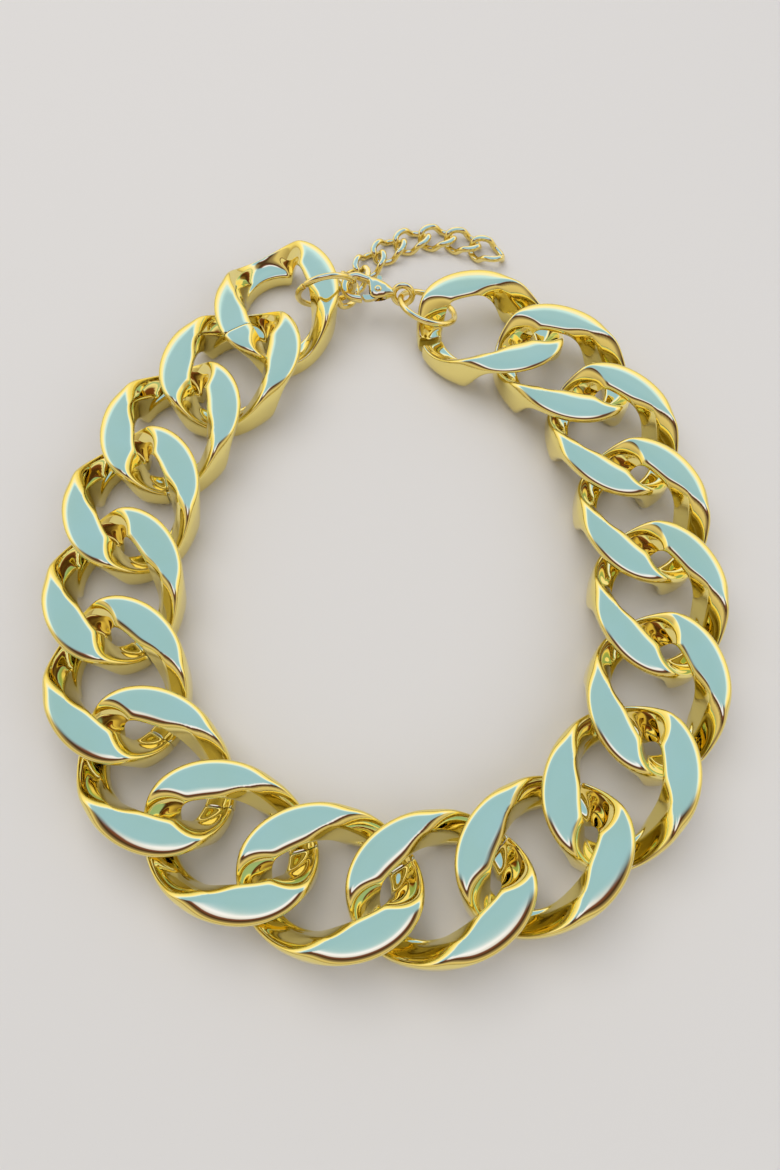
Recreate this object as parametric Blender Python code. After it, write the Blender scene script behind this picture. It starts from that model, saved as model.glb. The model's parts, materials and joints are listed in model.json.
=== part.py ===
"""Chunky curb chain necklace, clasped, lying as a loop: twisted links, jump rings, lobster clasp and extender."""

import math

import bmesh
import bpy
import numpy as np
from mathutils import Matrix, Vector

# Curb links, metres
LINK_LENGTH = 0.0328
LINK_WIDTH = 0.0262
STRAND_WIDTH = 0.0074  # along the sides of a link, across the filed face
STRAND_DEPTH = 0.0064  # top to bottom there, before filing
END_WIDTH = 0.0062  # at the two ends, where the next link hooks in
END_DEPTH = 0.0050
CROSSING_GAP = 0.0020  # air between a strand and the strand that it crosses
FILED_DEPTH = 0.0018  # taken off the top and bottom to make the flats
LINK_PLAY = 0.0012  # slack where two links hook together
SLIT_GAP = 0.0004  # each link is a split ring that snaps open
SLIT_ANGLE = -34.0  # degrees round the link from its leading end
SECTION_SQUARENESS = 0.9  # 1 is an ellipse, smaller is nearer a rectangle
TWIST_SHARPNESS = 2.4  # larger keeps the four corners level for longer

# Plan of the loop: heading of each link in degrees, from the first link round to the last
LINK_HEADINGS = (-105, -132, -119, -99, -90, -75, -52, -30, -12, 7, 28, 51, 74, 89, 96, 107, 130, 159)
ROOT_LINK = 9
FIRST_SEAT_ANGLE = 250.0  # where the left ring hangs on the first link
LAST_SEAT_ANGLE = 4.0  # where the right ring hangs on the last link

# Jump rings
RING_ROOM = 0.0028  # inside the ring, past the strand, for the clasp
RING_WIRE = 0.0014
RING_GAP = 0.0010  # to the strand that the ring hangs on
RING_SLIT = 0.00025
RING_BEND = 22.0  # degrees that each ring stands off the line between the end links

# Lobster clasp
HOOK_WIRE = 0.0018
HOOK_GAP = 0.00045  # to the ring wire that the hook holds
MOUTH_HALF = 0.0018  # half the height of the space inside the hook
MOUTH_LENGTH = 0.0046
CHEEK_WIDTH = 0.0052  # across the clasp at the lever
CLASP_THICKNESS = 0.0030
LEVER_THICKNESS = 0.0012
LEVER_GAP = 0.0002  # to each cheek
HUB_DIAMETER = 0.0023
PIVOT_SETBACK = 0.0019  # from the mouth to the rivet
RIVET_DIAMETER = 0.0010
RIVET_GAP = 0.0001
RIVET_HEAD = 0.0003
TAB_REACH = 0.0010  # of the thumb tab past the back of the clasp
TAB_WIDTH = 0.0010
EYE_WIRE = 0.0014
EYE_GAP = 0.0007
SPRING_STRIP = 0.00022
LEVER_SWING = 16.0  # degrees

# Extender chain
EXTENDER_LENGTH = 0.0094
EXTENDER_WIDTH = 0.0068
EXTENDER_WIRE = 0.0014
EXTENDER_GAP = 0.0006  # between crossing wires
EXTENDER_PLAY = 0.0004
EXTENDER_FLAT = 0.00015
EXTENDER_LIFT = 0.0001  # of the level extender links off the ground
EXTENDER_HEADINGS = (75, 60, 50, 36, 18, -3, -20, -32)
EXTENDER_SEAT_ANGLE = 50.0  # round the left ring from the hook, towards the far side
FIRST_EXTENDER_SLOPE = -0.35  # fall from the ring to the ground

# Mesh fineness
LINK_STEPS = 30
LINK_SIDES = 8
RING_STEPS = 28
WIRE_SIDES = 6
EXTENDER_STEPS = 22
HOOK_STEPS = 20

GOLD = (0.86, 0.66, 0.24)

link_end = (LINK_LENGTH - END_WIDTH) / 2
link_side = (LINK_WIDTH - STRAND_WIDTH) / 2
link_rise = (STRAND_DEPTH + CROSSING_GAP) / 2
link_half_height = link_rise + STRAND_DEPTH / 2 - FILED_DEPTH
link_pitch = 2 * link_end - END_WIDTH - LINK_PLAY
ring_radius = (STRAND_WIDTH + RING_GAP + RING_ROOM + RING_WIRE) / 2
extender_end = (EXTENDER_LENGTH - EXTENDER_WIRE) / 2
extender_side = (EXTENDER_WIDTH - EXTENDER_WIRE) / 2
extender_rise = (EXTENDER_WIRE + EXTENDER_GAP) / 2
extender_half_height = extender_rise + EXTENDER_WIRE / 2 - EXTENDER_FLAT
extender_pitch = 2 * extender_end - EXTENDER_WIRE - EXTENDER_PLAY
extender_rest = extender_half_height + EXTENDER_LIFT

for old in list(bpy.data.objects):
    bpy.data.objects.remove(old)


def plated_gold(name, colour, roughness):
    material = bpy.data.materials.new(name)
    material.use_nodes = True
    shader = material.node_tree.nodes["Principled BSDF"]
    shader.inputs["Base Color"].default_value = (*colour, 1)
    shader.inputs["Metallic"].default_value = 1
    shader.inputs["Roughness"].default_value = roughness
    return material


def add_object(name, mesh, matrix, material):
    mesh.materials.clear()
    mesh.materials.append(material)
    piece = bpy.data.objects.new(name, mesh)
    piece.matrix_world = matrix
    bpy.context.scene.collection.objects.link(piece)
    return piece


def mesh_from(name, points, faces):
    mesh = bpy.data.meshes.new(name)
    mesh.from_pydata([tuple(p) for p in points], [], faces)
    whole = bmesh.new()
    whole.from_mesh(mesh)
    bmesh.ops.recalc_face_normals(whole, faces=whole.faces[:])
    whole.to_mesh(mesh)
    whole.free()
    mesh.shade_smooth()
    mesh.set_sharp_from_angle(angle=math.radians(35))
    return mesh


def tube_faces(rings, sides):
    """Faces of an open tube of point rings, with its two ends closed."""
    faces = []
    for j in range(rings - 1):
        for k in range(sides):
            after = (k + 1) % sides
            faces.append((j * sides + k, j * sides + after, (j + 1) * sides + after, (j + 1) * sides + k))
    faces.append(tuple(range(sides)))
    faces.append(tuple((rings - 1) * sides + k for k in range(sides)))
    return faces


def oval(angle, end, side, rise):
    """A point of the twisted oval: up at the leading right and trailing left corners, down at the others."""
    height = rise * np.tanh(TWIST_SHARPNESS * np.sin(2 * angle)) / math.tanh(TWIST_SHARPNESS)
    return np.stack([end * np.cos(angle), -side * np.sin(angle), height], -1)


def oval_tangent(angle, end, side, rise):
    fade = 1 - np.tanh(TWIST_SHARPNESS * np.sin(2 * angle)) ** 2
    climb = 2 * rise * TWIST_SHARPNESS * np.cos(2 * angle) * fade / math.tanh(TWIST_SHARPNESS)
    slope = np.stack([-end * np.sin(angle), -side * np.cos(angle), climb], -1)
    return slope / np.linalg.norm(slope, axis=-1, keepdims=True)


def twisted_link(name, shape, section, flat_height, slit, steps, sides, squareness):
    """A split oval ring. shape is (end, side, rise), and section gives the strand's size at the ends and sides."""
    end, side, rise = shape
    slit_angle, slit_gap = slit
    start = math.radians(slit_angle)
    half_slit = slit_gap / 2 / math.hypot(end * math.sin(start), side * math.cos(start))
    angle = np.linspace(start + half_slit, start + 2 * math.pi - half_slit, steps + 1)
    centre = oval(angle, end, side, rise)
    along = oval_tangent(angle, end, side, rise)
    across = np.stack([-along[:, 1], along[:, 0], np.zeros(steps + 1)], -1)
    across /= np.linalg.norm(across, axis=-1, keepdims=True)
    upward = np.cross(along, across)
    (end_width, end_depth), (side_width, side_depth) = section
    at_end = np.cos(angle) ** 2
    width = side_width + (end_width - side_width) * at_end
    depth = side_depth + (end_depth - side_depth) * at_end
    turn = (np.arange(sides) + 0.5) * 2 * math.pi / sides
    outline = np.stack([np.cos(turn), np.sin(turn)], -1)
    outline = np.sign(outline) * np.abs(outline) ** squareness
    outline /= np.abs(outline).max()
    points = (
        centre[:, None]
        + across[:, None] * (outline[:, 0] * width[:, None] / 2)[..., None]
        + upward[:, None] * (outline[:, 1] * depth[:, None] / 2)[..., None]
    )
    points[..., 2] = np.clip(points[..., 2], -flat_height, flat_height)
    return mesh_from(name, points.reshape(-1, 3), tube_faces(steps + 1, sides))


def wire_tube(name, path, wire, sides):
    """A round wire along a flat path in the XY plane."""
    path = np.asarray(path)
    along = np.gradient(path, axis=0)
    along /= np.linalg.norm(along, axis=-1, keepdims=True)
    across = np.stack([-along[:, 1], along[:, 0], np.zeros(len(path))], -1)
    upward = np.array([0.0, 0.0, 1.0])
    turn = (np.arange(sides) + 0.5) * 2 * math.pi / sides
    reach = wire / 2
    points = (
        path[:, None]
        + across[:, None] * (reach * np.cos(turn))[None, :, None]
        + upward * (reach * np.sin(turn))[None, :, None]
    )
    return mesh_from(name, points.reshape(-1, 3), tube_faces(len(path), sides))


def arc(centre, radius, start, stop, steps):
    angle = np.radians(np.linspace(start, stop, steps + 1))
    flat = np.stack([radius * np.cos(angle), radius * np.sin(angle), np.zeros(steps + 1)], -1)
    return flat + np.array([centre[0], centre[1], 0.0])


def plate(name, outline, thickness):
    """A flat plate of this outline, centred on the XY plane."""
    count = len(outline)
    lower = [(x, y, -thickness / 2) for x, y in outline]
    upper = [(x, y, thickness / 2) for x, y in outline]
    sides = [(k, (k + 1) % count, count + (k + 1) % count, count + k) for k in range(count)]
    faces = [tuple(range(count)), tuple(range(count, 2 * count)), *sides]
    return mesh_from(name, lower + upper, faces)


def rod(name, centre, diameter, length, sides):
    turn = 2 * math.pi / sides
    outline = [
        (
            centre[0] + diameter / 2 * math.cos(k * turn),
            centre[1] + diameter / 2 * math.sin(k * turn),
        )
        for k in range(sides)
    ]
    return plate(name, outline, length)


def helper(name, mesh, matrix):
    """A shape that is only joined to or cut from a piece."""
    tool = bpy.data.objects.new(name, mesh)
    tool.matrix_world = matrix
    tool.hide_render = True
    tool.display_type = "WIRE"
    bpy.context.scene.collection.objects.link(tool)
    return tool


def combine(piece, operation, tools):
    for tool in tools:
        step = piece.modifiers.new(f"{operation}_{tool.name}".lower(), "BOOLEAN")
        step.operation = operation
        step.object = tool
        step.solver = "EXACT"


def frame_matrix(origin, forward, upward):
    """Axes X along forward, Z as near upward as it can be."""
    x_axis = Vector(forward).normalized()
    z_axis = Vector(upward) - x_axis * Vector(upward).dot(x_axis)
    z_axis.normalize()
    y_axis = z_axis.cross(x_axis)
    turn = Matrix((x_axis, y_axis, z_axis)).transposed().to_4x4()
    return Matrix.Translation(Vector(origin)) @ turn


def heading_vector(degrees):
    return Vector((math.cos(math.radians(degrees)), math.sin(math.radians(degrees)), 0))


def oval_place(matrix, angle):
    """Where the strand of a placed link is at this angle, and which way it runs."""
    turn = math.radians(angle)
    point = Vector(oval(np.array(turn), link_end, link_side, link_rise))
    tangent = Vector(oval_tangent(np.array(turn), link_end, link_side, link_rise))
    return matrix @ point, matrix.to_3x3() @ tangent


def strand_half_width(angle):
    at_end = math.cos(math.radians(angle)) ** 2
    return (STRAND_WIDTH + (END_WIDTH - STRAND_WIDTH) * at_end) / 2


def ring_reach(angle):
    """From the strand's centre line to the far side of the ring that hangs on it, at the wire's centre."""
    return 2 * ring_radius - RING_WIRE / 2 - RING_GAP - strand_half_width(angle)


def loop_plan(spread):
    """Pivots, link frames and the gap between the ends, for headings spread this much about the root link's."""
    middle = LINK_HEADINGS[ROOT_LINK - 1]
    pivots = [Vector((0, 0, link_half_height))]
    frames = []
    for heading in LINK_HEADINGS:
        ahead = heading_vector(middle + spread * (heading - middle))
        centre = pivots[-1] + ahead * link_pitch / 2
        frames.append(frame_matrix(centre, ahead, (0, 0, 1)))
        pivots.append(pivots[-1] + ahead * link_pitch)
    first_seat, _ = oval_place(frames[0], FIRST_SEAT_ANGLE)
    last_seat, _ = oval_place(frames[-1], LAST_SEAT_ANGLE)
    gap = last_seat - first_seat
    return pivots, frames, math.copysign(gap.length, gap.dot(heading_vector(middle)))


mouth_back = MOUTH_LENGTH - HOOK_GAP - RING_WIRE / 2
pivot_x = mouth_back + PIVOT_SETBACK
tab_swing = math.tan(math.radians(LEVER_SWING)) * (CHEEK_WIDTH / 2 + TAB_REACH)
slot_back = pivot_x + HUB_DIAMETER / 2 + tab_swing
eye_radius = RING_WIRE / 2 + EYE_GAP + EYE_WIRE / 2
clasp_span = slot_back + EYE_WIRE + eye_radius

# The loop closes when the gap between the two end links is what rings and clasp span
first_reach = ring_reach(FIRST_SEAT_ANGLE)
last_reach = ring_reach(LAST_SEAT_ANGLE)
ring_turn = math.radians(RING_BEND)
clasp_turn = math.asin((last_reach - first_reach) * math.sin(ring_turn) / clasp_span)
hardware_span = (first_reach + last_reach) * math.cos(ring_turn) + clasp_span * math.cos(clasp_turn)
tight, loose = 1.3, 0.7
for _ in range(50):
    spread = (tight + loose) / 2
    if loop_plan(spread)[2] > hardware_span:
        loose = spread
    else:
        tight = spread
pivots, link_frames, _ = loop_plan(spread)

gold_plate = plated_gold("mirror_gold_plate", GOLD, 0.06)
gold_wire = plated_gold("gold_plated_wire", GOLD, 0.12)

# Links: the origin of each lies on the pivot towards the root link
link_shape = (link_end, link_side, link_rise)
link_section = ((END_WIDTH, END_DEPTH), (STRAND_WIDTH, STRAND_DEPTH))
for number, matrix in enumerate(link_frames, start=1):
    towards_root = 0
    if number < ROOT_LINK:
        towards_root = link_pitch / 2
    elif number > ROOT_LINK:
        towards_root = -link_pitch / 2
    link_mesh = twisted_link(
        f"curb_link_{number:02d}",
        link_shape,
        link_section,
        link_half_height,
        (SLIT_ANGLE, SLIT_GAP),
        LINK_STEPS,
        LINK_SIDES,
        SECTION_SQUARENESS,
    )
    link_mesh.transform(Matrix.Translation((-towards_root, 0, 0)))
    add_object(
        f"curb_link_{number:02d}",
        link_mesh,
        matrix @ Matrix.Translation((towards_root, 0, 0)),
        gold_plate,
    )

# Line of the hardware, from the first link's seat to the last link's
first_seat, first_tangent = oval_place(link_frames[0], FIRST_SEAT_ANGLE)
last_seat, last_tangent = oval_place(link_frames[-1], LAST_SEAT_ANGLE)
hardware = (last_seat - first_seat).normalized()
outward = Vector((0, 0, 1)).cross(hardware).normalized()
left_run = hardware * math.cos(ring_turn) + outward * math.sin(ring_turn)
right_run = hardware * math.cos(ring_turn) - outward * math.sin(ring_turn)
clasp_run = hardware * math.cos(clasp_turn) + outward * math.sin(clasp_turn)
hook_point = first_seat + left_run * first_reach
eye_point = last_seat - right_run * last_reach


def ring_frame(centre, run, tangent):
    """Ring plane: X along the ring's run, Z along the strand that the ring goes round, pointing to the far side."""
    if tangent.y < 0:
        tangent = -tangent
    return frame_matrix(centre, run, tangent)


left_frame = ring_frame(hook_point - left_run * ring_radius, left_run, first_tangent)
right_frame = ring_frame(eye_point + right_run * ring_radius, right_run, last_tangent)
ring_slit_turn = math.degrees(RING_SLIT / 2 / ring_radius)
for name, matrix, seat, slit_turn in (
    ("jump_ring_left", left_frame, first_seat, 215),
    ("jump_ring_right", right_frame, last_seat, 55),
):
    to_seat = matrix.inverted() @ seat
    ring_path = arc((0, 0), ring_radius, slit_turn + ring_slit_turn, slit_turn + 360 - ring_slit_turn, RING_STEPS)
    ring_mesh = wire_tube(name, ring_path, RING_WIRE, WIRE_SIDES)
    ring_mesh.transform(Matrix.Translation(-to_seat))
    add_object(name, ring_mesh, matrix @ Matrix.Translation(to_seat), gold_wire)

# Clasp frame: origin in the hook, X to the eye, Y to the back of the clasp, Z along the ring wire
wire_up = left_frame.to_3x3() @ Vector((0, -1, 0))
clasp_frame = frame_matrix(hook_point, clasp_run, wire_up)

hook_radius = MOUTH_HALF + HOOK_WIRE / 2
bow_centre = MOUTH_HALF - HOOK_GAP - RING_WIRE / 2
tip_x = bow_centre + HOOK_WIRE / 2
shoulder_y = CHEEK_WIDTH / 2 - HOOK_WIRE / 2
tip_run = np.array([[tip_x, -hook_radius, 0.0]])
bow = arc((bow_centre, 0), hook_radius, 270, 90, HOOK_STEPS)
back_run = np.array([[mouth_back + HUB_DIAMETER / 2, shoulder_y, 0.0]])
hook_path = np.concatenate([tip_run, bow, back_run])
hook_mesh = wire_tube("clasp_body", hook_path, HOOK_WIRE, LINK_SIDES)
hook_mesh.transform(Matrix.Translation((-clasp_span, 0, 0)))
eye_frame = clasp_frame @ Matrix.Translation((clasp_span, 0, 0))
clasp_body = add_object("clasp_body", hook_mesh, eye_frame, gold_wire)

cheek_half = CHEEK_WIDTH / 2
tail_half = eye_radius
cheeks_back = slot_back + EYE_WIRE
cheek_outline = [
    (mouth_back, -cheek_half * 0.86),
    (pivot_x, -cheek_half),
    (cheeks_back, -tail_half * 0.8),
    (cheeks_back, tail_half * 0.8),
    (pivot_x, cheek_half),
    (mouth_back, cheek_half * 0.96),
]
cheeks = helper("cheeks", plate("cheeks", cheek_outline, CLASP_THICKNESS), clasp_frame)
eye_path = arc((0, 0), eye_radius, 0, 360, RING_STEPS)[:-1]


def closed_wire(name, path, wire, sides):
    """A round wire round a closed flat path."""
    path = np.asarray(path)
    along = np.roll(path, -1, axis=0) - np.roll(path, 1, axis=0)
    along /= np.linalg.norm(along, axis=-1, keepdims=True)
    across = np.stack([-along[:, 1], along[:, 0], np.zeros(len(path))], -1)
    turn = (np.arange(sides) + 0.5) * 2 * math.pi / sides
    points = (
        path[:, None]
        + across[:, None] * (wire / 2 * np.cos(turn))[None, :, None]
        + np.array([0.0, 0.0, 1.0]) * (wire / 2 * np.sin(turn))[None, :, None]
    )
    faces = []
    count = len(path)
    for j in range(count):
        for k in range(sides):
            after = (k + 1) % sides
            following = (j + 1) % count
            faces.append((j * sides + k, j * sides + after, following * sides + after, following * sides + k))
    return mesh_from(name, points.reshape(-1, 3), faces)


# The eye is turned square to the wire of the right ring
right_wire = right_frame.to_3x3() @ Vector((0, 1, 0))
eye_place = frame_matrix(eye_point, clasp_run, right_wire)
eye = helper("eye", closed_wire("eye", eye_path, EYE_WIRE, WIRE_SIDES), eye_place)
combine(clasp_body, "UNION", [cheeks, eye])

slot_height = LEVER_THICKNESS + 2 * LEVER_GAP
far = CHEEK_WIDTH
lever_slot_outline = [
    (mouth_back - LEVER_THICKNESS, -far),
    (slot_back, -far),
    (slot_back, HUB_DIAMETER / 2 - cheek_half * 0.1),
    (mouth_back - LEVER_THICKNESS, HUB_DIAMETER / 2 - cheek_half * 0.1),
]
tab_slot_outline = [
    (pivot_x - TAB_WIDTH, 0),
    (slot_back, 0),
    (slot_back, far),
    (pivot_x - TAB_WIDTH, far),
]
lever_slot = helper("lever_slot", plate("lever_slot", lever_slot_outline, slot_height), clasp_frame)
tab_slot = helper("tab_slot", plate("tab_slot", tab_slot_outline, slot_height), clasp_frame)
pivot_y = -cheek_half * 0.1
rivet_hole = helper(
    "rivet_hole",
    rod("rivet_hole", (pivot_x, pivot_y), RIVET_DIAMETER + 2 * RIVET_GAP, 2 * CLASP_THICKNESS, 12),
    clasp_frame,
)
combine(clasp_body, "DIFFERENCE", [lever_slot, tab_slot, rivet_hole])

# Lever: gate, hub and thumb tab in one plate, with its origin on the rivet
pivot_frame = clasp_frame @ Matrix.Translation((pivot_x, pivot_y, 0))
gate_top = -MOUTH_HALF - pivot_y
gate_bottom = gate_top - LEVER_THICKNESS
gate_tip = tip_x + RING_GAP - pivot_x
hub = HUB_DIAMETER / 2
lever_outline = [
    (hub * 0.5, -hub * 0.87),
    (hub, 0),
    (hub * 0.75, hub * 0.66),
    (TAB_WIDTH / 2, cheek_half - pivot_y + TAB_REACH),
    (-TAB_WIDTH / 2, cheek_half - pivot_y + TAB_REACH),
    (-TAB_WIDTH / 2, hub * 0.87),
    (-hub * 0.9, hub * 0.44),
    (gate_tip * 0.55, gate_top),
    (gate_tip, gate_top),
    (gate_tip + LEVER_THICKNESS * 0.7, gate_bottom),
    (gate_tip * 0.3, gate_bottom),
]
clasp_lever = add_object("clasp_lever", plate("clasp_lever", lever_outline, LEVER_THICKNESS), pivot_frame, gold_wire)
lever_hole = helper(
    "lever_hole",
    rod("lever_hole", (0, 0), RIVET_DIAMETER + 2 * RIVET_GAP, 2 * LEVER_THICKNESS, 12),
    pivot_frame,
)
combine(clasp_lever, "DIFFERENCE", [lever_hole])

rivet_mesh = rod("clasp_rivet", (0, 0), RIVET_DIAMETER, CLASP_THICKNESS + 2 * RIVET_HEAD, 12)
add_object("clasp_rivet", rivet_mesh, pivot_frame, gold_wire)

# Hairpin spring behind the hub, one leg on the slot's back wall and one on the hub
spring_back = slot_back - pivot_x - LEVER_GAP
spring_front = hub + LEVER_GAP
spring_low = -hub * 0.9
spring_outline = [
    (spring_back, -spring_low * 0.2),
    (spring_back, spring_low - SPRING_STRIP),
    (spring_front, spring_low - SPRING_STRIP),
    (spring_front, -spring_low * 0.2),
    (spring_front + SPRING_STRIP, -spring_low * 0.2),
    (spring_front + SPRING_STRIP, spring_low),
    (spring_back - SPRING_STRIP, spring_low),
    (spring_back - SPRING_STRIP, -spring_low * 0.2),
]
spring_mesh = plate("clasp_spring", spring_outline, LEVER_THICKNESS - LEVER_GAP)
add_object("clasp_spring", spring_mesh, pivot_frame, gold_wire)

# Extender: from the left ring out to the back, lying on the ground after its first links
seat_turn = math.radians(EXTENDER_SEAT_ANGLE)
extender_pivot = left_frame @ Vector((ring_radius * math.cos(seat_turn), ring_radius * math.sin(seat_turn), 0))
extender_shape = (extender_end, extender_side, extender_rise)
extender_section = ((EXTENDER_WIRE, EXTENDER_WIRE), (EXTENDER_WIRE, EXTENDER_WIRE))
for number, heading in enumerate(EXTENDER_HEADINGS, start=1):
    ahead = heading_vector(heading)
    to_centre = extender_pitch / 2
    ahead.z = max(-0.5, min(0.5, (extender_rest - extender_pivot.z) / extender_pitch))
    if number == 1:
        to_centre = extender_end - (EXTENDER_WIRE + RING_WIRE) / 2 - EXTENDER_PLAY
        ahead.z = FIRST_EXTENDER_SLOPE
    ahead.normalize()
    link_mesh = twisted_link(
        f"extender_link_{number}",
        extender_shape,
        extender_section,
        extender_half_height,
        (SLIT_ANGLE, RING_SLIT),
        EXTENDER_STEPS,
        WIRE_SIDES,
        1.0,
    )
    link_mesh.transform(Matrix.Translation((to_centre, 0, 0)))
    place = frame_matrix(extender_pivot, ahead, (0, 0, 1))
    add_object(f"extender_link_{number}", link_mesh, place, gold_wire)
    extender_pivot = extender_pivot + ahead * (to_centre + extender_pitch / 2)

# The box of the whole necklace is centred on the origin and stands on the ground
bpy.context.view_layer.update()
lowest = Vector((math.inf,) * 3)
highest = Vector((-math.inf,) * 3)
for piece in bpy.data.objects:
    if piece.hide_render:
        continue
    for vertex in piece.data.vertices:
        point = piece.matrix_world @ vertex.co
        lowest = Vector(map(min, lowest, point))
        highest = Vector(map(max, highest, point))
to_origin = Vector((-(lowest.x + highest.x) / 2, -(lowest.y + highest.y) / 2, -lowest.z))
for piece in bpy.data.objects:
    piece.location += to_origin
bpy.context.view_layer.update()
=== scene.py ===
import json
import math

import bpy
import numpy as np
from mathutils import Matrix, Vector


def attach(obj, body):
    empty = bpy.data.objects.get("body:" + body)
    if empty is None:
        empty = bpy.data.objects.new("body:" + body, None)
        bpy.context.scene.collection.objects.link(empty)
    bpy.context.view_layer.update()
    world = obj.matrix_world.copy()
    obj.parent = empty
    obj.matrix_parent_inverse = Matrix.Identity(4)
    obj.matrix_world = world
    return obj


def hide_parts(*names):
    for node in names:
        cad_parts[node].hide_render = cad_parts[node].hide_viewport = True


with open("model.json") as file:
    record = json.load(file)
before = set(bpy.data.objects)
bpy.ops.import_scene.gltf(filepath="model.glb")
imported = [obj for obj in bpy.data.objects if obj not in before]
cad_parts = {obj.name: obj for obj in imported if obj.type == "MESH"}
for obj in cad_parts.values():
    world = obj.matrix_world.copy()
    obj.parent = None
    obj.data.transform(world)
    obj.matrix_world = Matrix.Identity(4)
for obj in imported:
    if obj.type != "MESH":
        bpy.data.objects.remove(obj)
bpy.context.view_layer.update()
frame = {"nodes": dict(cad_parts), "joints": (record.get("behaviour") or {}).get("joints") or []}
joints = {joint["name"]: joint for joint in frame["joints"]}
scene = bpy.context.scene
scene.view_settings.view_transform = "Standard"


def jointPoint(name):
    return np.array(joints[name]["pos_m"], float)


def jointAxis(name):
    return np.array(joints[name]["axis"], float)


def unit(vector):
    return vector / np.linalg.norm(vector, axis=-1, keepdims=True)


def headingVector(degrees):
    turn = math.radians(degrees)
    return np.array([math.cos(turn), math.sin(turn), 0.0])


# materials are procedural, on object coordinates in metres
platingSettings = {
    "cloudScale": 95,
    "cloudDetail": 3,
    "darkShare": (0.97, 0.955, 0.9),  # of the finish's colour, at the two ends of its drift
    "lightShare": (1.01, 1.03, 1.12),
    "rubScale": 1500,
    "rubDetail": 4,
    "rubRange": (0.35, 0.75),  # noise values between which the gloss changes
    "swellDetail": 1,
}
goldSettings = {
    "link": {"colour": (0.95, 0.80, 0.27), "rough": (0.02, 0.055), "waviness": 0.000006, "waveScale": 420},
    "wire": {"colour": (0.94, 0.77, 0.28), "rough": (0.05, 0.11), "waviness": 0.000005, "waveScale": 900},
    "strip": {"colour": (0.83, 0.67, 0.33), "rough": (0.20, 0.32), "waviness": 0.000003, "waveScale": 1600},
}


def goldFinish(name, settings):
    material = bpy.data.materials.new(name)
    material.use_nodes = True
    nodes = material.node_tree.nodes
    links = material.node_tree.links
    shader = nodes["Principled BSDF"]
    shader.inputs["Metallic"].default_value = 1.0
    place = nodes.new("ShaderNodeTexCoord")

    def noise(scale, detail):
        texture = nodes.new("ShaderNodeTexNoise")
        texture.inputs["Scale"].default_value = scale
        texture.inputs["Detail"].default_value = detail
        links.new(place.outputs["Object"], texture.inputs["Vector"])
        return texture

    cloud = noise(platingSettings["cloudScale"], platingSettings["cloudDetail"])  # slow drift of the colour
    tint = nodes.new("ShaderNodeMix")
    tint.data_type = "RGBA"
    colour = np.array(settings["colour"])
    tint.inputs["A"].default_value = (*(colour * platingSettings["darkShare"]), 1)
    tint.inputs["B"].default_value = (*np.minimum(colour * platingSettings["lightShare"], 1), 1)
    links.new(cloud.outputs["Fac"], tint.inputs["Factor"])
    links.new(tint.outputs["Result"], shader.inputs["Base Color"])
    rub = noise(platingSettings["rubScale"], platingSettings["rubDetail"])  # fine rubbing from wear
    gloss = nodes.new("ShaderNodeMapRange")
    gloss.inputs["From Min"].default_value = platingSettings["rubRange"][0]
    gloss.inputs["From Max"].default_value = platingSettings["rubRange"][1]
    gloss.inputs["To Min"].default_value = settings["rough"][0]
    gloss.inputs["To Max"].default_value = settings["rough"][1]
    links.new(rub.outputs["Fac"], gloss.inputs["Value"])
    links.new(gloss.outputs["Result"], shader.inputs["Roughness"])
    # the slight waviness of a polished casting
    swell = noise(settings["waveScale"], platingSettings["swellDetail"])
    bump = nodes.new("ShaderNodeBump")
    bump.inputs["Strength"].default_value = 1.0
    bump.inputs["Distance"].default_value = settings["waviness"]
    links.new(swell.outputs["Fac"], bump.inputs["Height"])
    links.new(bump.outputs["Normal"], shader.inputs["Normal"])
    return material


linkGold = goldFinish("mirrorGoldLink", goldSettings["link"])
wireGold = goldFinish("polishedGoldWire", goldSettings["wire"])
stripGold = goldFinish("satinSpringStrip", goldSettings["strip"])
print("materials made")


def tubeFaces(rings, sides):  # quads between following rings of points, and a cap on each end
    ring = np.arange(rings - 1)[:, None] * sides
    side = np.arange(sides)[None, :]
    after = (side + 1) % sides
    quads = np.stack([ring + side, ring + after, ring + sides + after, ring + sides + side], -1)
    faces = quads.reshape(-1, 4).tolist()
    faces.append(list(range(sides))[::-1])
    faces.append([(rings - 1) * sides + k for k in range(sides)])
    return faces


sharpAngle = math.radians(38)  # an edge that bends more than this shows as a crease


def makePiece(name, points, faces, material):
    points = points.reshape(-1, 3)
    mesh = bpy.data.meshes.new(name)
    mesh.from_pydata(points.tolist(), [], faces)
    mesh.update()
    mesh.calc_loop_triangles()
    corners = np.empty(len(mesh.loop_triangles) * 3, np.int32)
    mesh.loop_triangles.foreach_get("vertices", corners)
    tri = points[corners.reshape(-1, 3)]
    # six times the signed volume: the triple products of the triangles, negative for an inside-out mesh
    volume = np.einsum("ij,ij->i", tri[:, 0], np.cross(tri[:, 1], tri[:, 2])).sum()
    if volume < 0:
        mesh.flip_normals()
    mesh.materials.append(material)
    mesh.shade_smooth()
    mesh.set_sharp_from_angle(angle=sharpAngle)
    piece = bpy.data.objects.new(name, mesh)
    scene.collection.objects.link(piece)
    return piece


def dress(piece, node, body):
    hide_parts(node)
    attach(piece, body)


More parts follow.
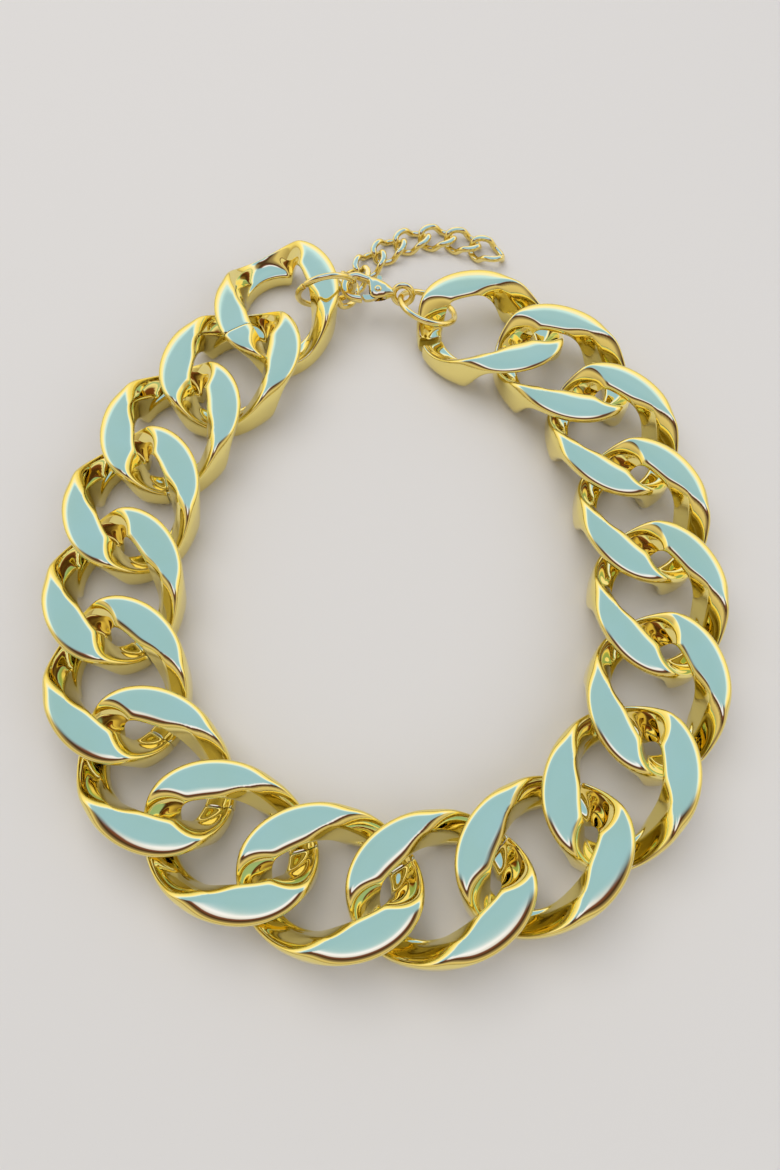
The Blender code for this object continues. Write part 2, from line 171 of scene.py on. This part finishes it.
linkSettings = {
    "length": 0.0328,
    "width": 0.0266,
    "sideWidth": 0.0082,  # of the strand, at the long sides
    "endWidth": 0.0060,  # and at the two ends
    "waist": 0.28,  # share of the inner half width left where the strand dives
    "waistTurn": 108.0,  # degrees round the oval
    "waistPower": 1.6,
    "halfHeight": 0.0056,
    "level": 0.0052,  # height of the uncut top midway between a raised and a lowered corner, at the sides
    "endLevel": 0.0038,
    "swing": 0.0050,  # how far the uncut top rises to a raised corner
    "tilt": 0.66,  # how much longer the outer edge stays high
    "endTilt": 0.44,
    "sag": 0.0027,  # how much further it drops to a lowered corner
    "sagSoft": 0.24,
    "lowest": -0.0012,  # height of the top at the lowered corners
    "rise": 0.0055,  # of the underside's middle line
    "sharpness": 3.2,  # how quickly the underside goes from low to high
    "sideDepth": 0.0047,  # of the strand, which sets its underside
    "endDepth": 0.0040,
    "turn": -2.0,  # degrees by which the raised corners are shifted round the oval
    "flatSoft": 0.00045,  # rounding between the flat and the falling parts
    "underSoft": 0.0004,
    "crown": 0.00010,  # the flats are very slightly domed,
    "edgeCrown": 0.00024,  # more so near their edges
    "topCorner": 0.44,  # power of the rounded-square section, above and below
    "underCorner": 0.75,
    "crowding": 2.2,  # power that packs the points of the top towards its two edges
    "pitch": 0.0192,
    "slitTurn": -34.0,
    "firstSlitTurn": 34.0,
    "slitGap": 0.00012,
    "lastRise": 0.0058,  # the last link is thinner underneath, for its sharper bend
    "lastSideDepth": 0.0030,
    "openSlitGap": 0.0014,  # the last link's slit stands open
    "slitEase": 0.00016,
    "firstHeading": -105.67,
    "lastHeading": 160.24,
    "count": 18,
    "root": 9,  # the link that the others hang from, which has no hinge of its own
    "steps": 220,
    "topSides": 32,
    "underSides": 20,
}


def softMin(height, limit, softness):
    # smooth least of two heights
    return limit - softness * np.logaddexp(0, (limit - height) / softness)


def slitTurns(settings, slitTurn, slitGap, end, side):
    # turns round the oval from one lip of the slit to the other, with a narrow eased ring at each lip
    start = math.radians(slitTurn)
    speed = math.hypot(end * math.sin(start), side * math.cos(start))
    half = slitGap / 2 / speed
    ease = settings["slitEase"] / speed
    angle = np.linspace(start + half + ease, start + 2 * math.pi - half - ease, settings["steps"] + 1)
    return np.concatenate([angle[:1] - ease, angle, angle[-1:] + ease])


def roundedSection(settings):
    # a rounded square as two half curves:
    # across runs from 1 outside to -1 inside, over the top and back below
    step = np.linspace(1, -1, settings["topSides"] + 1)
    over = np.sign(step) * (1 - (1 - np.abs(step)) ** settings["crowding"])
    power = settings["topCorner"]
    overHeight = (1 - np.abs(over) ** (2 / power)) ** (power / 2)
    turn = np.linspace(math.pi, 2 * math.pi, settings["underSides"] + 1)[1:-1]
    power = settings["underCorner"]
    below = np.sign(np.cos(turn)) * np.abs(np.cos(turn)) ** power
    return np.concatenate([over, below]), np.concatenate([overHeight, -np.abs(np.sin(turn)) ** power])


def leafLink(settings, slitTurn, slitGap):
    # a strand carried round an oval: its top is high at two opposite corners and low at the other two,
    # falls later along the outer edge than along the inner one, and is cut flat at half the link's height
    end = (settings["length"] - settings["endWidth"]) / 2
    side = (settings["width"] - settings["sideWidth"]) / 2
    angle = slitTurns(settings, slitTurn, slitGap, end, side)
    size = np.ones(len(angle))
    size[[0, -1]] = 1 - 2 * settings["slitEase"] / settings["sideWidth"]
    along = unit(np.stack([-end * np.sin(angle), -side * np.cos(angle)], -1))
    across, height = roundedSection(settings)
    atEnd = np.cos(angle)[:, None] ** 2
    wave = np.sin(2 * (angle - math.radians(settings["turn"])))[:, None]
    lean = wave + (settings["tilt"] + (settings["endTilt"] - settings["tilt"]) * atEnd) * across
    fall = settings["sagSoft"] * np.logaddexp(0, -lean / settings["sagSoft"])
    level = settings["level"] + (settings["endLevel"] - settings["level"]) * atEnd
    uncut = level + settings["swing"] * lean - settings["sag"] * fall
    uncut = -softMin(-uncut, -settings["lowest"], settings["underSoft"])
    dome = settings["crown"] * across**2 + settings["edgeCrown"] * across**4
    top = softMin(uncut, settings["halfHeight"] - dome, settings["flatSoft"])
    sharpness = settings["sharpness"]
    depth = settings["sideDepth"] + (settings["endDepth"] - settings["sideDepth"]) * atEnd
    under = settings["rise"] * np.tanh(sharpness * wave) / math.tanh(sharpness) - depth / 2
    bottom = -softMin(-under, settings["halfHeight"], settings["underSoft"])
    width = settings["sideWidth"] + (settings["endWidth"] - settings["sideWidth"]) * atEnd
    halfWidth = size[:, None] * width / 2
    dive = np.cos(angle - math.radians(settings["waistTurn"]))[:, None] ** 2
    inner = 1 - (1 - settings["waist"]) * dive ** settings["waistPower"]
    reach = halfWidth * np.where(across < 0, inner * across, across)
    points = np.empty((len(angle), len(across), 3))
    points[..., 0] = end * np.cos(angle)[:, None] - along[:, 1:] * reach
    points[..., 1] = -side * np.sin(angle)[:, None] + along[:, :1] * reach
    points[..., 2] = (top + bottom) / 2 + size[:, None] * (top - bottom) / 2 * height
    return points


def placed(points, origin, ahead, up=(0.0, 0.0, 1.0)):
    # local X along ahead and Z as near up as it can be
    xAxis = unit(np.asarray(ahead, float))
    zAxis = np.asarray(up, float)
    zAxis = unit(zAxis - xAxis * zAxis.dot(xAxis))
    turn = np.stack([xAxis, np.cross(zAxis, xAxis), zAxis])
    return points @ turn + origin


# each big link lies between the pivots to its two neighbours
count = linkSettings["count"]
hinged = [number for number in range(1, count + 1) if number != linkSettings["root"]]
pivots = [jointPoint(f"link_{number:02d}_swing") for number in hinged]
pivots.insert(0, pivots[0] - headingVector(linkSettings["firstHeading"]) * linkSettings["pitch"])
pivots.append(pivots[-1] + headingVector(linkSettings["lastHeading"]) * linkSettings["pitch"])
closedLink = leafLink(linkSettings, linkSettings["slitTurn"], linkSettings["slitGap"])
firstLink = leafLink(linkSettings, linkSettings["firstSlitTurn"], linkSettings["slitGap"])
lastSettings = dict(linkSettings, rise=linkSettings["lastRise"], sideDepth=linkSettings["lastSideDepth"])
lastLink = leafLink(lastSettings, linkSettings["slitTurn"], linkSettings["openSlitGap"])
linkFaces = tubeFaces(*closedLink.shape[:2])
for number in range(1, count + 1):
    before, after = pivots[number - 1], pivots[number]
    local = {1: firstLink, count: lastLink}.get(number, closedLink)
    world = placed(local, (before + after) / 2, after - before)
    link = makePiece(f"polished_link_{number:02d}", world, linkFaces, linkGold)
    dress(link, f"curb_link_{number:02d}", f"link_{number:02d}")
print("big links made")

# the jump rings follow the circle of the CAD ring
ringSettings = {
    "wire": 0.0014,
    "slitGap": 0.00025,
    "endShare": 0.82,  # of the wire's thickness, left at the two cut ends
    "steps": 120,
    "sides": 20,
    "slits": {"left": 215.0, "right": 55.0},  # degrees round the ring
}


def nodePoints(node):
    mesh = frame["nodes"][node].data
    points = np.empty(len(mesh.vertices) * 3, np.float32)
    mesh.vertices.foreach_get("co", points)
    return np.unique(np.round(points.reshape(-1, 3), 6), axis=0).astype(float)


def circleOf(points):
    # plane by least spread, then the circle that fits best in it
    middle = points.mean(0)
    normal = np.linalg.svd(points - middle)[2][2]
    offsets = points - middle
    table = np.concatenate([2 * offsets, np.ones((len(points), 1))], 1)
    answer = np.linalg.lstsq(table, (offsets**2).sum(1), rcond=None)[0]
    shift = answer[:3] - normal * normal.dot(answer[:3])
    centre = middle + shift
    flat = points - centre
    flat -= np.outer(flat @ normal, normal)
    reach = np.linalg.norm(flat, axis=1)
    return centre, normal, (reach.max() + reach.min()) / 2


def roundWire(path, settings, upward):
    # a circle carried along a flat open path, with its two cut ends slightly eased
    along = unit(np.gradient(path, axis=0))
    across = np.cross(upward, along)
    turn = np.arange(settings["sides"]) * 2 * math.pi / settings["sides"]
    size = np.full(len(path), settings["wire"] / 2)
    size[[0, -1]] *= settings["endShare"]
    return (
        path[:, None]
        + across[:, None] * (size[:, None] * np.cos(turn))[..., None]
        + upward * (size[:, None] * np.sin(turn))[..., None]
    )


for side, pointName in (("left", "left_ring_swing"), ("right", "right_ring_swing")):
    centre, normal, radius = circleOf(nodePoints(f"jump_ring_{side}"))
    xAxis = centre - jointPoint(pointName)
    xAxis = unit(xAxis - normal * normal.dot(xAxis))
    if side == "right":
        xAxis = -xAxis
    if normal[1] < 0:
        normal = -normal
    yAxis = np.cross(normal, xAxis)
    halfSlit = math.degrees(ringSettings["slitGap"] / 2 / radius)
    first = ringSettings["slits"][side]
    turn = np.radians(np.linspace(first + halfSlit, first + 360 - halfSlit, ringSettings["steps"] + 1))
    path = centre + radius * (np.outer(np.cos(turn), xAxis) + np.outer(np.sin(turn), yAxis))
    points = roundWire(path, ringSettings, normal)
    faces = tubeFaces(len(path), ringSettings["sides"])
    ring = makePiece(f"round_ring_{side}", points, faces, wireGold)
    dress(ring, f"jump_ring_{side}", f"{side}_ring")
print("rings made")

extenderSettings = {
    "length": 0.0094,
    "width": 0.0068,
    "wire": 0.0014,
    "rise": 0.0010,
    "sharpness": 2.4,
    "filedHeight": 0.00155,  # above and below the middle
    "filedSoftness": 0.00003,
    "nudge": 1e-4,  # turn on either side of a point that gives the wire's direction there
    "pitch": 0.0062,
    "slitTurn": -34.0,
    "slitGap": 0.00010,
    "slitEase": 0.00006,
    "lastHeading": -32.0,
    "count": 8,
    "steps": 96,
    "sides": 16,
}


def twistedOval(settings):
    # a round wire carried round an oval whose height is a flattened double sine, up at two opposite corners,
    # filed flat above and below
    wire = settings["wire"]
    end = (settings["length"] - wire) / 2
    side = (settings["width"] - wire) / 2
    angle = slitTurns(settings, settings["slitTurn"], settings["slitGap"], end, side)
    sharpness = settings["sharpness"]

    def line(turn):
        height = settings["rise"] * np.tanh(sharpness * np.sin(2 * turn)) / math.tanh(sharpness)
        return np.stack([end * np.cos(turn), -side * np.sin(turn), height], -1)

    along = unit(line(angle + settings["nudge"]) - line(angle - settings["nudge"]))
    across = unit(np.stack([-along[:, 1], along[:, 0], np.zeros(len(angle))], -1))
    upward = np.cross(along, across)
    radius = np.full(len(angle), wire / 2)
    radius[[0, -1]] -= settings["slitEase"]
    turn = np.arange(settings["sides"]) * 2 * math.pi / settings["sides"]
    points = (
        line(angle)[:, None]
        + across[:, None] * (radius[:, None] * np.cos(turn))[..., None]
        + upward[:, None] * (radius[:, None] * np.sin(turn))[..., None]
    )
    limit = settings["filedHeight"]
    softness = settings["filedSoftness"]
    points[..., 2] = softMin(points[..., 2], limit, softness)
    points[..., 2] = -softMin(-points[..., 2], limit, softness)
    return points


smallLink = twistedOval(extenderSettings)
smallFaces = tubeFaces(smallLink.shape[0], extenderSettings["sides"])
hooks = [jointPoint(f"extender_{number}_swing") for number in range(1, extenderSettings["count"] + 1)]
hooks.append(hooks[-1] + headingVector(extenderSettings["lastHeading"]) * extenderSettings["pitch"])
for number in range(1, extenderSettings["count"] + 1):
    ahead = unit(hooks[number] - hooks[number - 1])
    centre = hooks[number] - ahead * extenderSettings["pitch"] / 2
    link = makePiece(f"fine_link_{number}", placed(smallLink, centre, ahead), smallFaces, wireGold)
    dress(link, f"extender_link_{number}", f"extender_{number}")
print("extender made")

# clasp frame: origin in the hook, X to the eye, Y to the side of the thumb tab, Z through the cheeks
claspSettings = {
    "span": 0.01103,  # from the hook's middle to the eye's
    "bowCentre": 0.00065,
    "bowRadius": 0.0027,
    "hookWire": 0.0018,
    "tipAt": 0.0020,
    "tipShear": 0.44,  # the tip is cut slanting, to meet the gate
    "tipShares": (0.97, 0.90, 0.74),  # of the wire's thickness, in the last sections at the tip
    "bowSteps": 60,
    "tipSteps": 18,
    "sides": 40,
    # sections from the tail to the start of the bow, closest at the neck: from, to (in millimetres) and count
    "runs": ((9.3, 4.4, 44), (4.4, 3.0, 44), (3.0, 0.65, 18)),
    # stations from the start of the bow to the tail, beside the eye:
    # place along X, then value, in millimetres (the squareness has no unit)
    "upperEdge": ((0.65, 3.6), (2.0, 3.36), (3.45, 3.0), (5.35, 2.55), (7.0, 1.95), (8.2, 1.3), (9.0, 0.85),
                  (9.3, 0.5)),
    "lowerEdge": ((0.65, 1.8), (2.0, 1.58), (2.9, 1.36), (3.2, 1.1), (3.4, 0.2), (3.55, -1.3), (3.75, -2.1),
                  (4.3, -2.4), (5.35, -2.5), (7.0, -1.95), (8.2, -1.3), (9.0, -0.85), (9.3, -0.5)),
    "halfDepth": ((0.65, 0.9), (2.9, 0.95), (3.5, 1.15), (4.3, 1.4), (5.35, 1.5), (7.0, 1.4), (8.2, 1.1),
                  (9.0, 0.8), (9.3, 0.5)),
    "squareness": ((0.65, 1.0), (3.0, 1.0), (4.6, 0.74), (7.0, 0.78), (8.4, 1.0), (9.3, 1.0)),
    "stationSoft": 0.22,  # half the stretch that the stations are averaged over, in millimetres
    "stationSamples": 9,
    "eyeRadius": 0.0021,
    "eyeWire": 0.0014,
    "eyeSteps": 72,
    "eyeSides": 24,
    "pivot": (0.00535, -0.00026, 0.0),
    "slotHalf": 0.0008,
    "leverSlot": (0.00225, 0.00753, -0.0052, 0.00089),  # low X, high X, low Y, high Y
    "tabSlot": (0.00435, 0.00753, 0.0, 0.0052),
    "rivetRadius": 0.0005,
    "rivetHole": 0.0006,
    "rivetSides": 28,
    "boreHalf": 0.004,  # the hole's cutter stands proud of both cheeks
    "boreSides": 32,
    "headRadius": 0.0008,
    "headAt": 0.00138,
    "headSteps": 7,
    "headStart": 0.08,  # share of the quarter turn at the flat spot on top of the head
    "rivetHalf": 0.0018,
    "leverHalf": 0.0006,
    "leverEase": 0.00012,
    "leverLevels": 6,
    # the lever's outline about the rivet, in millimetres: gate, hub, thumb tab and back along the gate
    "leverCorners": ((-3.52, -1.50), (-2.3, -1.50), (-1.5, -1.25), (-1.12, -0.3), (-0.8, 0.8), (-0.55, 1.6),
                     (-0.62, 3.15), (-0.5, 3.75), (0.5, 3.75), (0.62, 3.15), (0.7, 1.6), (1.25, 0.5),
                     (1.2, -0.7), (0.5, -1.6), (-1.0, -2.5), (-2.0, -2.76), (-2.62, -2.76)),
    "leverRounds": 3,
}
claspEye = jointPoint("clasp_swing")
claspX = unit(jointAxis("clasp_swing"))
claspZ = -jointAxis("lever_press")
claspZ = unit(claspZ - claspX * claspZ.dot(claspX))
claspTurn = np.stack([claspX, np.cross(claspZ, claspX), claspZ])
claspHook = claspEye - claspX * claspSettings["span"]


def inClasp(points):
    return points @ claspTurn + claspHook


def stationRun(settings, key, at):
    # straight runs between stations, averaged over a short stretch
    knots, values = np.array(settings[key]).T
    spread = np.linspace(-settings["stationSoft"], settings["stationSoft"], settings["stationSamples"])
    return np.interp(at[None, :] + spread[:, None], knots, values).mean(0)


def claspSweep(settings):
    # one rounded section carried from the tail along the cheeks and the back,
    # round the bow and out to the tip
    tail = settings["runs"][0][0]
    runAt = np.concatenate([[tail], *(np.linspace(*run)[1:] for run in settings["runs"])])
    upper = stationRun(settings, "upperEdge", runAt)
    lower = stationRun(settings, "lowerEdge", runAt)
    turn = np.radians(np.linspace(90, 270, settings["bowSteps"] + 1)[1:])
    tipRun = np.linspace(settings["bowCentre"], settings["tipAt"], settings["tipSteps"] + 1)[1:]
    tipShare = np.linspace(0, 1, settings["tipSteps"] + 1)[1:]
    bowOut = np.stack([np.cos(turn), np.sin(turn), 0 * turn], -1)
    centre = np.concatenate([
        np.stack([runAt, (upper + lower) / 2, 0 * runAt], -1) / 1000,
        np.array([settings["bowCentre"], 0, 0]) + settings["bowRadius"] * bowOut,
        np.stack([tipRun, 0 * tipRun - settings["bowRadius"], 0 * tipRun], -1),
    ])
    outward = np.concatenate([
        np.tile((0.0, 1.0, 0.0), (len(runAt), 1)),
        bowOut,
        np.tile((0.0, -1.0, 0.0), (len(tipRun), 1)),
    ])
    plainWire = np.full(len(turn) + len(tipRun), settings["hookWire"] / 2)
    plainWire[-len(settings["tipShares"]):] *= settings["tipShares"]
    halfWidth = np.concatenate([(upper - lower) / 2000, plainWire])
    halfDepth = np.concatenate([stationRun(settings, "halfDepth", runAt) / 1000, plainWire])
    power = np.concatenate([stationRun(settings, "squareness", runAt), np.ones(len(plainWire))])
    around = np.arange(settings["sides"]) * 2 * math.pi / settings["sides"]
    wide = np.sign(np.cos(around)) * np.abs(np.cos(around)) ** power[:, None] * halfWidth[:, None]
    deep = np.sign(np.sin(around)) * np.abs(np.sin(around)) ** power[:, None] * halfDepth[:, None]
    points = centre[:, None] + outward[:, None] * wide[..., None]
    points[..., 2] += deep
    shear = np.zeros(len(centre))
    shear[-len(tipRun):] = settings["tipShear"] * tipShare
    points[..., 0] += shear[:, None] * wide
    return points


def closedRing(radius, wire, steps, sides):
    # a circle carried round a circle, about the local Z axis
    run = np.arange(steps)[:, None] * 2 * math.pi / steps
    turn = np.arange(sides)[None, :] * 2 * math.pi / sides
    reach = radius + wire / 2 * np.cos(turn)
    points = np.stack([reach * np.cos(run), reach * np.sin(run), wire / 2 * np.sin(turn) + 0 * run], -1)
    ring = np.arange(steps)[:, None]
    side = np.arange(sides)[None, :]
    following = (ring + 1) % steps
    after = (side + 1) % sides
    quads = [ring * sides + side, following * sides + side, following * sides + after, ring * sides + after]
    return points, np.stack(quads, -1).reshape(-1, 4).tolist()


def boxPoints(low, high):
    # eight corners, as two rings of four
    ring = np.array([(low[1], low[2]), (high[1], low[2]), (high[1], high[2]), (low[1], high[2])])
    return np.stack([np.concatenate([np.full((4, 1), x), ring], 1) for x in (low[0], high[0])])


def pinPoints(radii, heights, sides):
    # a circle carried up the local Z axis with a changing radius
    turn = np.arange(sides) * 2 * math.pi / sides
    radii = np.asarray(radii)[:, None]
    heights = np.asarray(heights)[:, None]
    return np.stack([radii * np.cos(turn), radii * np.sin(turn), heights + 0 * turn], -1)


def roundedOutline(corners, rounds):
    # corners cut again and again at a quarter and three quarters of each side
    corners = np.asarray(corners, float)
    for _ in range(rounds):
        following = np.roll(corners, -1, axis=0)
        cut = np.stack([0.75 * corners + 0.25 * following, 0.25 * corners + 0.75 * following], 1)
        corners = cut.reshape(-1, 2)
    return corners


def pillowPlate(outline, half, ease, levels):
    # an outline carried through the plate's depth, drawn in near both faces along a quarter circle
    along = unit(np.roll(outline, -1, axis=0) - np.roll(outline, 1, axis=0))
    inward = np.stack([-along[:, 1], along[:, 0]], -1)
    area = np.sum(outline[:, 0] * np.roll(outline[:, 1], -1) - outline[:, 1] * np.roll(outline[:, 0], -1))
    inward *= np.sign(area)
    bend = np.linspace(0, math.pi / 2, levels)
    drawn = ease * (1 - np.concatenate([np.sin(bend), np.sin(bend)[::-1]]))
    height = half - ease * (1 - np.cos(bend))
    height = np.concatenate([-height, height[::-1]])
    flat = outline[None] + drawn[:, None, None] * inward[None]
    return np.concatenate([flat, np.broadcast_to(height[:, None, None], flat.shape[:2] + (1,))], -1)


def joinAndCut(piece, steps):
    # steps are pairs of an operation and a helper, which is used up
    for operation, tool in steps:
        change = piece.modifiers.new(tool.name, "BOOLEAN")
        change.operation = operation
        change.solver = "EXACT"
        change.object = tool
    bpy.context.view_layer.update()
    changed = piece.evaluated_get(bpy.context.evaluated_depsgraph_get())
    mesh = bpy.data.meshes.new_from_object(changed)
    piece.modifiers.clear()
    piece.data = mesh
    mesh.set_sharp_from_angle(angle=sharpAngle)
    for _, tool in steps:
        bpy.data.objects.remove(tool)


def claspHelper(name, points):
    return makePiece(name, inClasp(points), tubeFaces(*points.shape[:2]), wireGold)


def rivetBore(settings):
    # a straight pin through both cheeks, a little wider than the rivet
    radii = [settings["rivetHole"]] * 2
    heights = [-settings["boreHalf"], settings["boreHalf"]]
    return pinPoints(radii, heights, settings["boreSides"]) + settings["pivot"]


def claspBody(settings):
    # the sweep with the eye joined on, then slotted for the lever and bored for the rivet
    body = claspHelper("clasp_form", claspSweep(settings))
    ringCentre, ringNormal, _ = circleOf(nodePoints("jump_ring_right"))
    wireRun = unit(np.cross(ringNormal, claspEye - ringCentre))
    eyeSize = [settings[key] for key in ("eyeRadius", "eyeWire", "eyeSteps", "eyeSides")]
    eye, eyeFaces = closedRing(*eyeSize)
    steps = [("UNION", makePiece("eyeForm", placed(eye, claspEye, claspX, wireRun), eyeFaces, wireGold))]
    depth = settings["slotHalf"]
    for key in ("leverSlot", "tabSlot"):
        lowX, highX, lowY, highY = settings[key]
        slot = claspHelper(key, boxPoints((lowX, lowY, -depth), (highX, highY, depth)))
        steps.append(("DIFFERENCE", slot))
    steps.append(("DIFFERENCE", claspHelper("bodyBore", rivetBore(settings))))
    joinAndCut(body, steps)
    return body


def claspLever(settings):
    # an eased plate in the lever's outline, bored for the rivet
    outline = roundedOutline(np.array(settings["leverCorners"]) / 1000, settings["leverRounds"])
    plate = pillowPlate(outline, settings["leverHalf"], settings["leverEase"], settings["leverLevels"])
    lever = claspHelper("lever_form", plate + settings["pivot"])
    joinAndCut(lever, [("DIFFERENCE", claspHelper("leverBore", rivetBore(settings)))])
    return lever


def claspRivet(settings):
    # a pin with a domed head, a quarter of an ellipse, at each end
    turn = np.linspace(settings["headStart"], 1, settings["headSteps"]) * math.pi / 2
    foot = settings["headAt"]
    headRadii = settings["headRadius"] * np.sin(turn)
    headHeights = foot + (settings["rivetHalf"] - foot) * np.cos(turn)
    radii = np.concatenate([headRadii, [settings["rivetRadius"]] * 2, headRadii[::-1]])
    heights = np.concatenate([headHeights, [foot, -foot], -headHeights[::-1]])
    return claspHelper("rivet_form", pinPoints(radii, heights, settings["rivetSides"]) + settings["pivot"])


dress(claspBody(claspSettings), "clasp_body", "clasp")
dress(claspLever(claspSettings), "clasp_lever", "lever")
dress(claspRivet(claspSettings), "clasp_rivet", "clasp")
springMaterials = frame["nodes"]["clasp_spring"].data.materials  # the hidden spring keeps its CAD shape
springMaterials.clear()
springMaterials.append(stripGold)
print("clasp made")

floorSettings = {"size": 3.0, "colour": (0.70, 0.67, 0.63), "roughness": 0.75}
half = floorSettings["size"] / 2
floorCorners = [(-half, -half, 0), (half, -half, 0), (half, half, 0), (-half, half, 0)]
floorMesh = bpy.data.meshes.new("floor")
floorMesh.from_pydata(floorCorners, [], [(0, 1, 2, 3)])
floor = bpy.data.objects.new("floor", floorMesh)
scene.collection.objects.link(floor)
floorFinish = bpy.data.materials.new("paleFloor")
floorFinish.use_nodes = True
floorShader = floorFinish.node_tree.nodes["Principled BSDF"]
floorShader.inputs["Base Color"].default_value = (*floorSettings["colour"], 1)
floorShader.inputs["Roughness"].default_value = floorSettings["roughness"]
floorMesh.materials.append(floorFinish)

skySettings = {
    "background": (0.80, 0.79, 0.77),
    "soft": (0.86, 0.88, 0.92),
    "softStrength": 0.62,
    "blend": 0.10,  # half the width of the band where the far and the near side meet
    # reflected sky by height: sine of the elevation, then colour
    "farSide": ((0.0, (0.55, 0.46, 0.30)), (0.15, (0.95, 0.85, 0.55)), (0.40, (1.10, 1.02, 0.80)),
                (0.62, (1.05, 1.10, 1.70)), (0.70, (0.62, 1.02, 2.60)), (0.755, (0.37, 0.69, 1.92)),
                (0.914, (0.34, 0.66, 1.86)), (1.0, (0.35, 0.67, 1.88))),
    "nearSide": ((0.0, (0.45, 0.38, 0.28)), (0.45, (0.75, 0.66, 0.52)), (0.68, (0.30, 0.24, 0.22)),
                 (0.82, (0.07, 0.04, 0.04)), (0.91, (0.20, 0.08, 0.09)), (0.945, (0.85, 0.95, 2.30)),
                 (0.975, (1.00, 1.14, 3.00)), (1.0, (0.40, 0.72, 1.95))),
}
world = bpy.data.worlds.new("softSky")
scene.world = world
world.use_nodes = True
nodes = world.node_tree.nodes
links = world.node_tree.links
nodes.clear()


def skyRamp(stops, height):
    ramp = nodes.new("ShaderNodeValToRGB")
    ramp.color_ramp.interpolation = "EASE"
    elements = ramp.color_ramp.elements
    while len(elements) < len(stops):
        elements.new(0.5)
    for element, (at, colour) in zip(elements, stops):
        element.position = at
        element.color = (*colour, 1)
    links.new(height, ramp.inputs["Fac"])
    return ramp.outputs["Color"]


direction = nodes.new("ShaderNodeTexCoord")
parts = nodes.new("ShaderNodeSeparateXYZ")
links.new(direction.outputs["Generated"], parts.inputs["Vector"])
northSouth = nodes.new("ShaderNodeMapRange")
northSouth.interpolation_type = "SMOOTHSTEP"
northSouth.inputs["From Min"].default_value = -skySettings["blend"]
northSouth.inputs["From Max"].default_value = skySettings["blend"]
links.new(parts.outputs["Y"], northSouth.inputs["Value"])
reflected = nodes.new("ShaderNodeMix")
reflected.data_type = "RGBA"
links.new(northSouth.outputs["Result"], reflected.inputs["Factor"])
links.new(skyRamp(skySettings["nearSide"], parts.outputs["Z"]), reflected.inputs["A"])
links.new(skyRamp(skySettings["farSide"], parts.outputs["Z"]), reflected.inputs["B"])
path = nodes.new("ShaderNodeLightPath")
mirror = nodes.new("ShaderNodeBackground")
links.new(reflected.outputs["Result"], mirror.inputs["Color"])
soft = nodes.new("ShaderNodeBackground")
soft.inputs["Color"].default_value = (*skySettings["soft"], 1)
soft.inputs["Strength"].default_value = skySettings["softStrength"]
seen = nodes.new("ShaderNodeBackground")
seen.inputs["Color"].default_value = (*skySettings["background"], 1)
glossyOr = nodes.new("ShaderNodeMixShader")
links.new(path.outputs["Is Glossy Ray"], glossyOr.inputs["Fac"])
links.new(soft.outputs["Background"], glossyOr.inputs[1])
links.new(mirror.outputs["Background"], glossyOr.inputs[2])
cameraOr = nodes.new("ShaderNodeMixShader")
links.new(path.outputs["Is Camera Ray"], cameraOr.inputs["Fac"])
links.new(glossyOr.outputs["Shader"], cameraOr.inputs[1])
links.new(seen.outputs["Background"], cameraOr.inputs[2])
output = nodes.new("ShaderNodeOutputWorld")
links.new(cameraOr.outputs["Shader"], output.inputs["Surface"])

lampSettings = (
    {"name": "overhead", "place": (-0.25, 0.35, 0.9), "power": 5.0, "size": 0.9, "colour": (1.0, 0.98, 0.95)},
    {"name": "fill", "place": (0.5, -0.4, 0.6), "power": 1.6, "size": 0.7, "colour": (0.95, 0.97, 1.0)},
)
for lamp in lampSettings:
    light = bpy.data.lights.new(lamp["name"], "AREA")
    light.energy = lamp["power"]
    light.size = lamp["size"]
    light.color = lamp["colour"]
    lightObject = bpy.data.objects.new(lamp["name"], light)
    lightObject.location = lamp["place"]
    lightObject.rotation_euler = (-Vector(lamp["place"])).to_track_quat("-Z", "Y").to_euler()
    lightObject.visible_glossy = False
    scene.collection.objects.link(lightObject)

cameraSettings = {
    "place": (-0.00350, -0.09065, 0.18526),
    "elevation": 66.33,
    "yaw": 2.93,
    "roll": 2.91,
    "focalPixels": 1000.0,
    "imageWidth": 780.0,
    "sensorWidth": 36.0,  # in millimetres
    "clipStart": 0.01,
}
camera = bpy.data.cameras.new("photoCamera")
camera.sensor_fit = "HORIZONTAL"
camera.sensor_width = cameraSettings["sensorWidth"]
camera.lens = cameraSettings["focalPixels"] / cameraSettings["imageWidth"] * cameraSettings["sensorWidth"]
camera.clip_start = cameraSettings["clipStart"]
cameraObject = bpy.data.objects.new("photoCamera", camera)
elevation, yaw, roll = (math.radians(cameraSettings[key]) for key in ("elevation", "yaw", "roll"))
level = math.cos(elevation)
forward = np.array([math.sin(yaw) * level, math.cos(yaw) * level, -math.sin(elevation)])
right = np.array([math.cos(yaw), -math.sin(yaw), 0.0])
upright = np.cross(right, forward)
turnedRight = right * math.cos(roll) + upright * math.sin(roll)
turnedUp = upright * math.cos(roll) - right * math.sin(roll)
cameraTurn = Matrix(np.stack([turnedRight, turnedUp, -forward], 1).tolist())
cameraObject.matrix_world = Matrix.Translation(cameraSettings["place"]) @ cameraTurn.to_4x4()
scene.collection.objects.link(cameraObject)
scene.camera = cameraObject
print("floor, light and camera set")
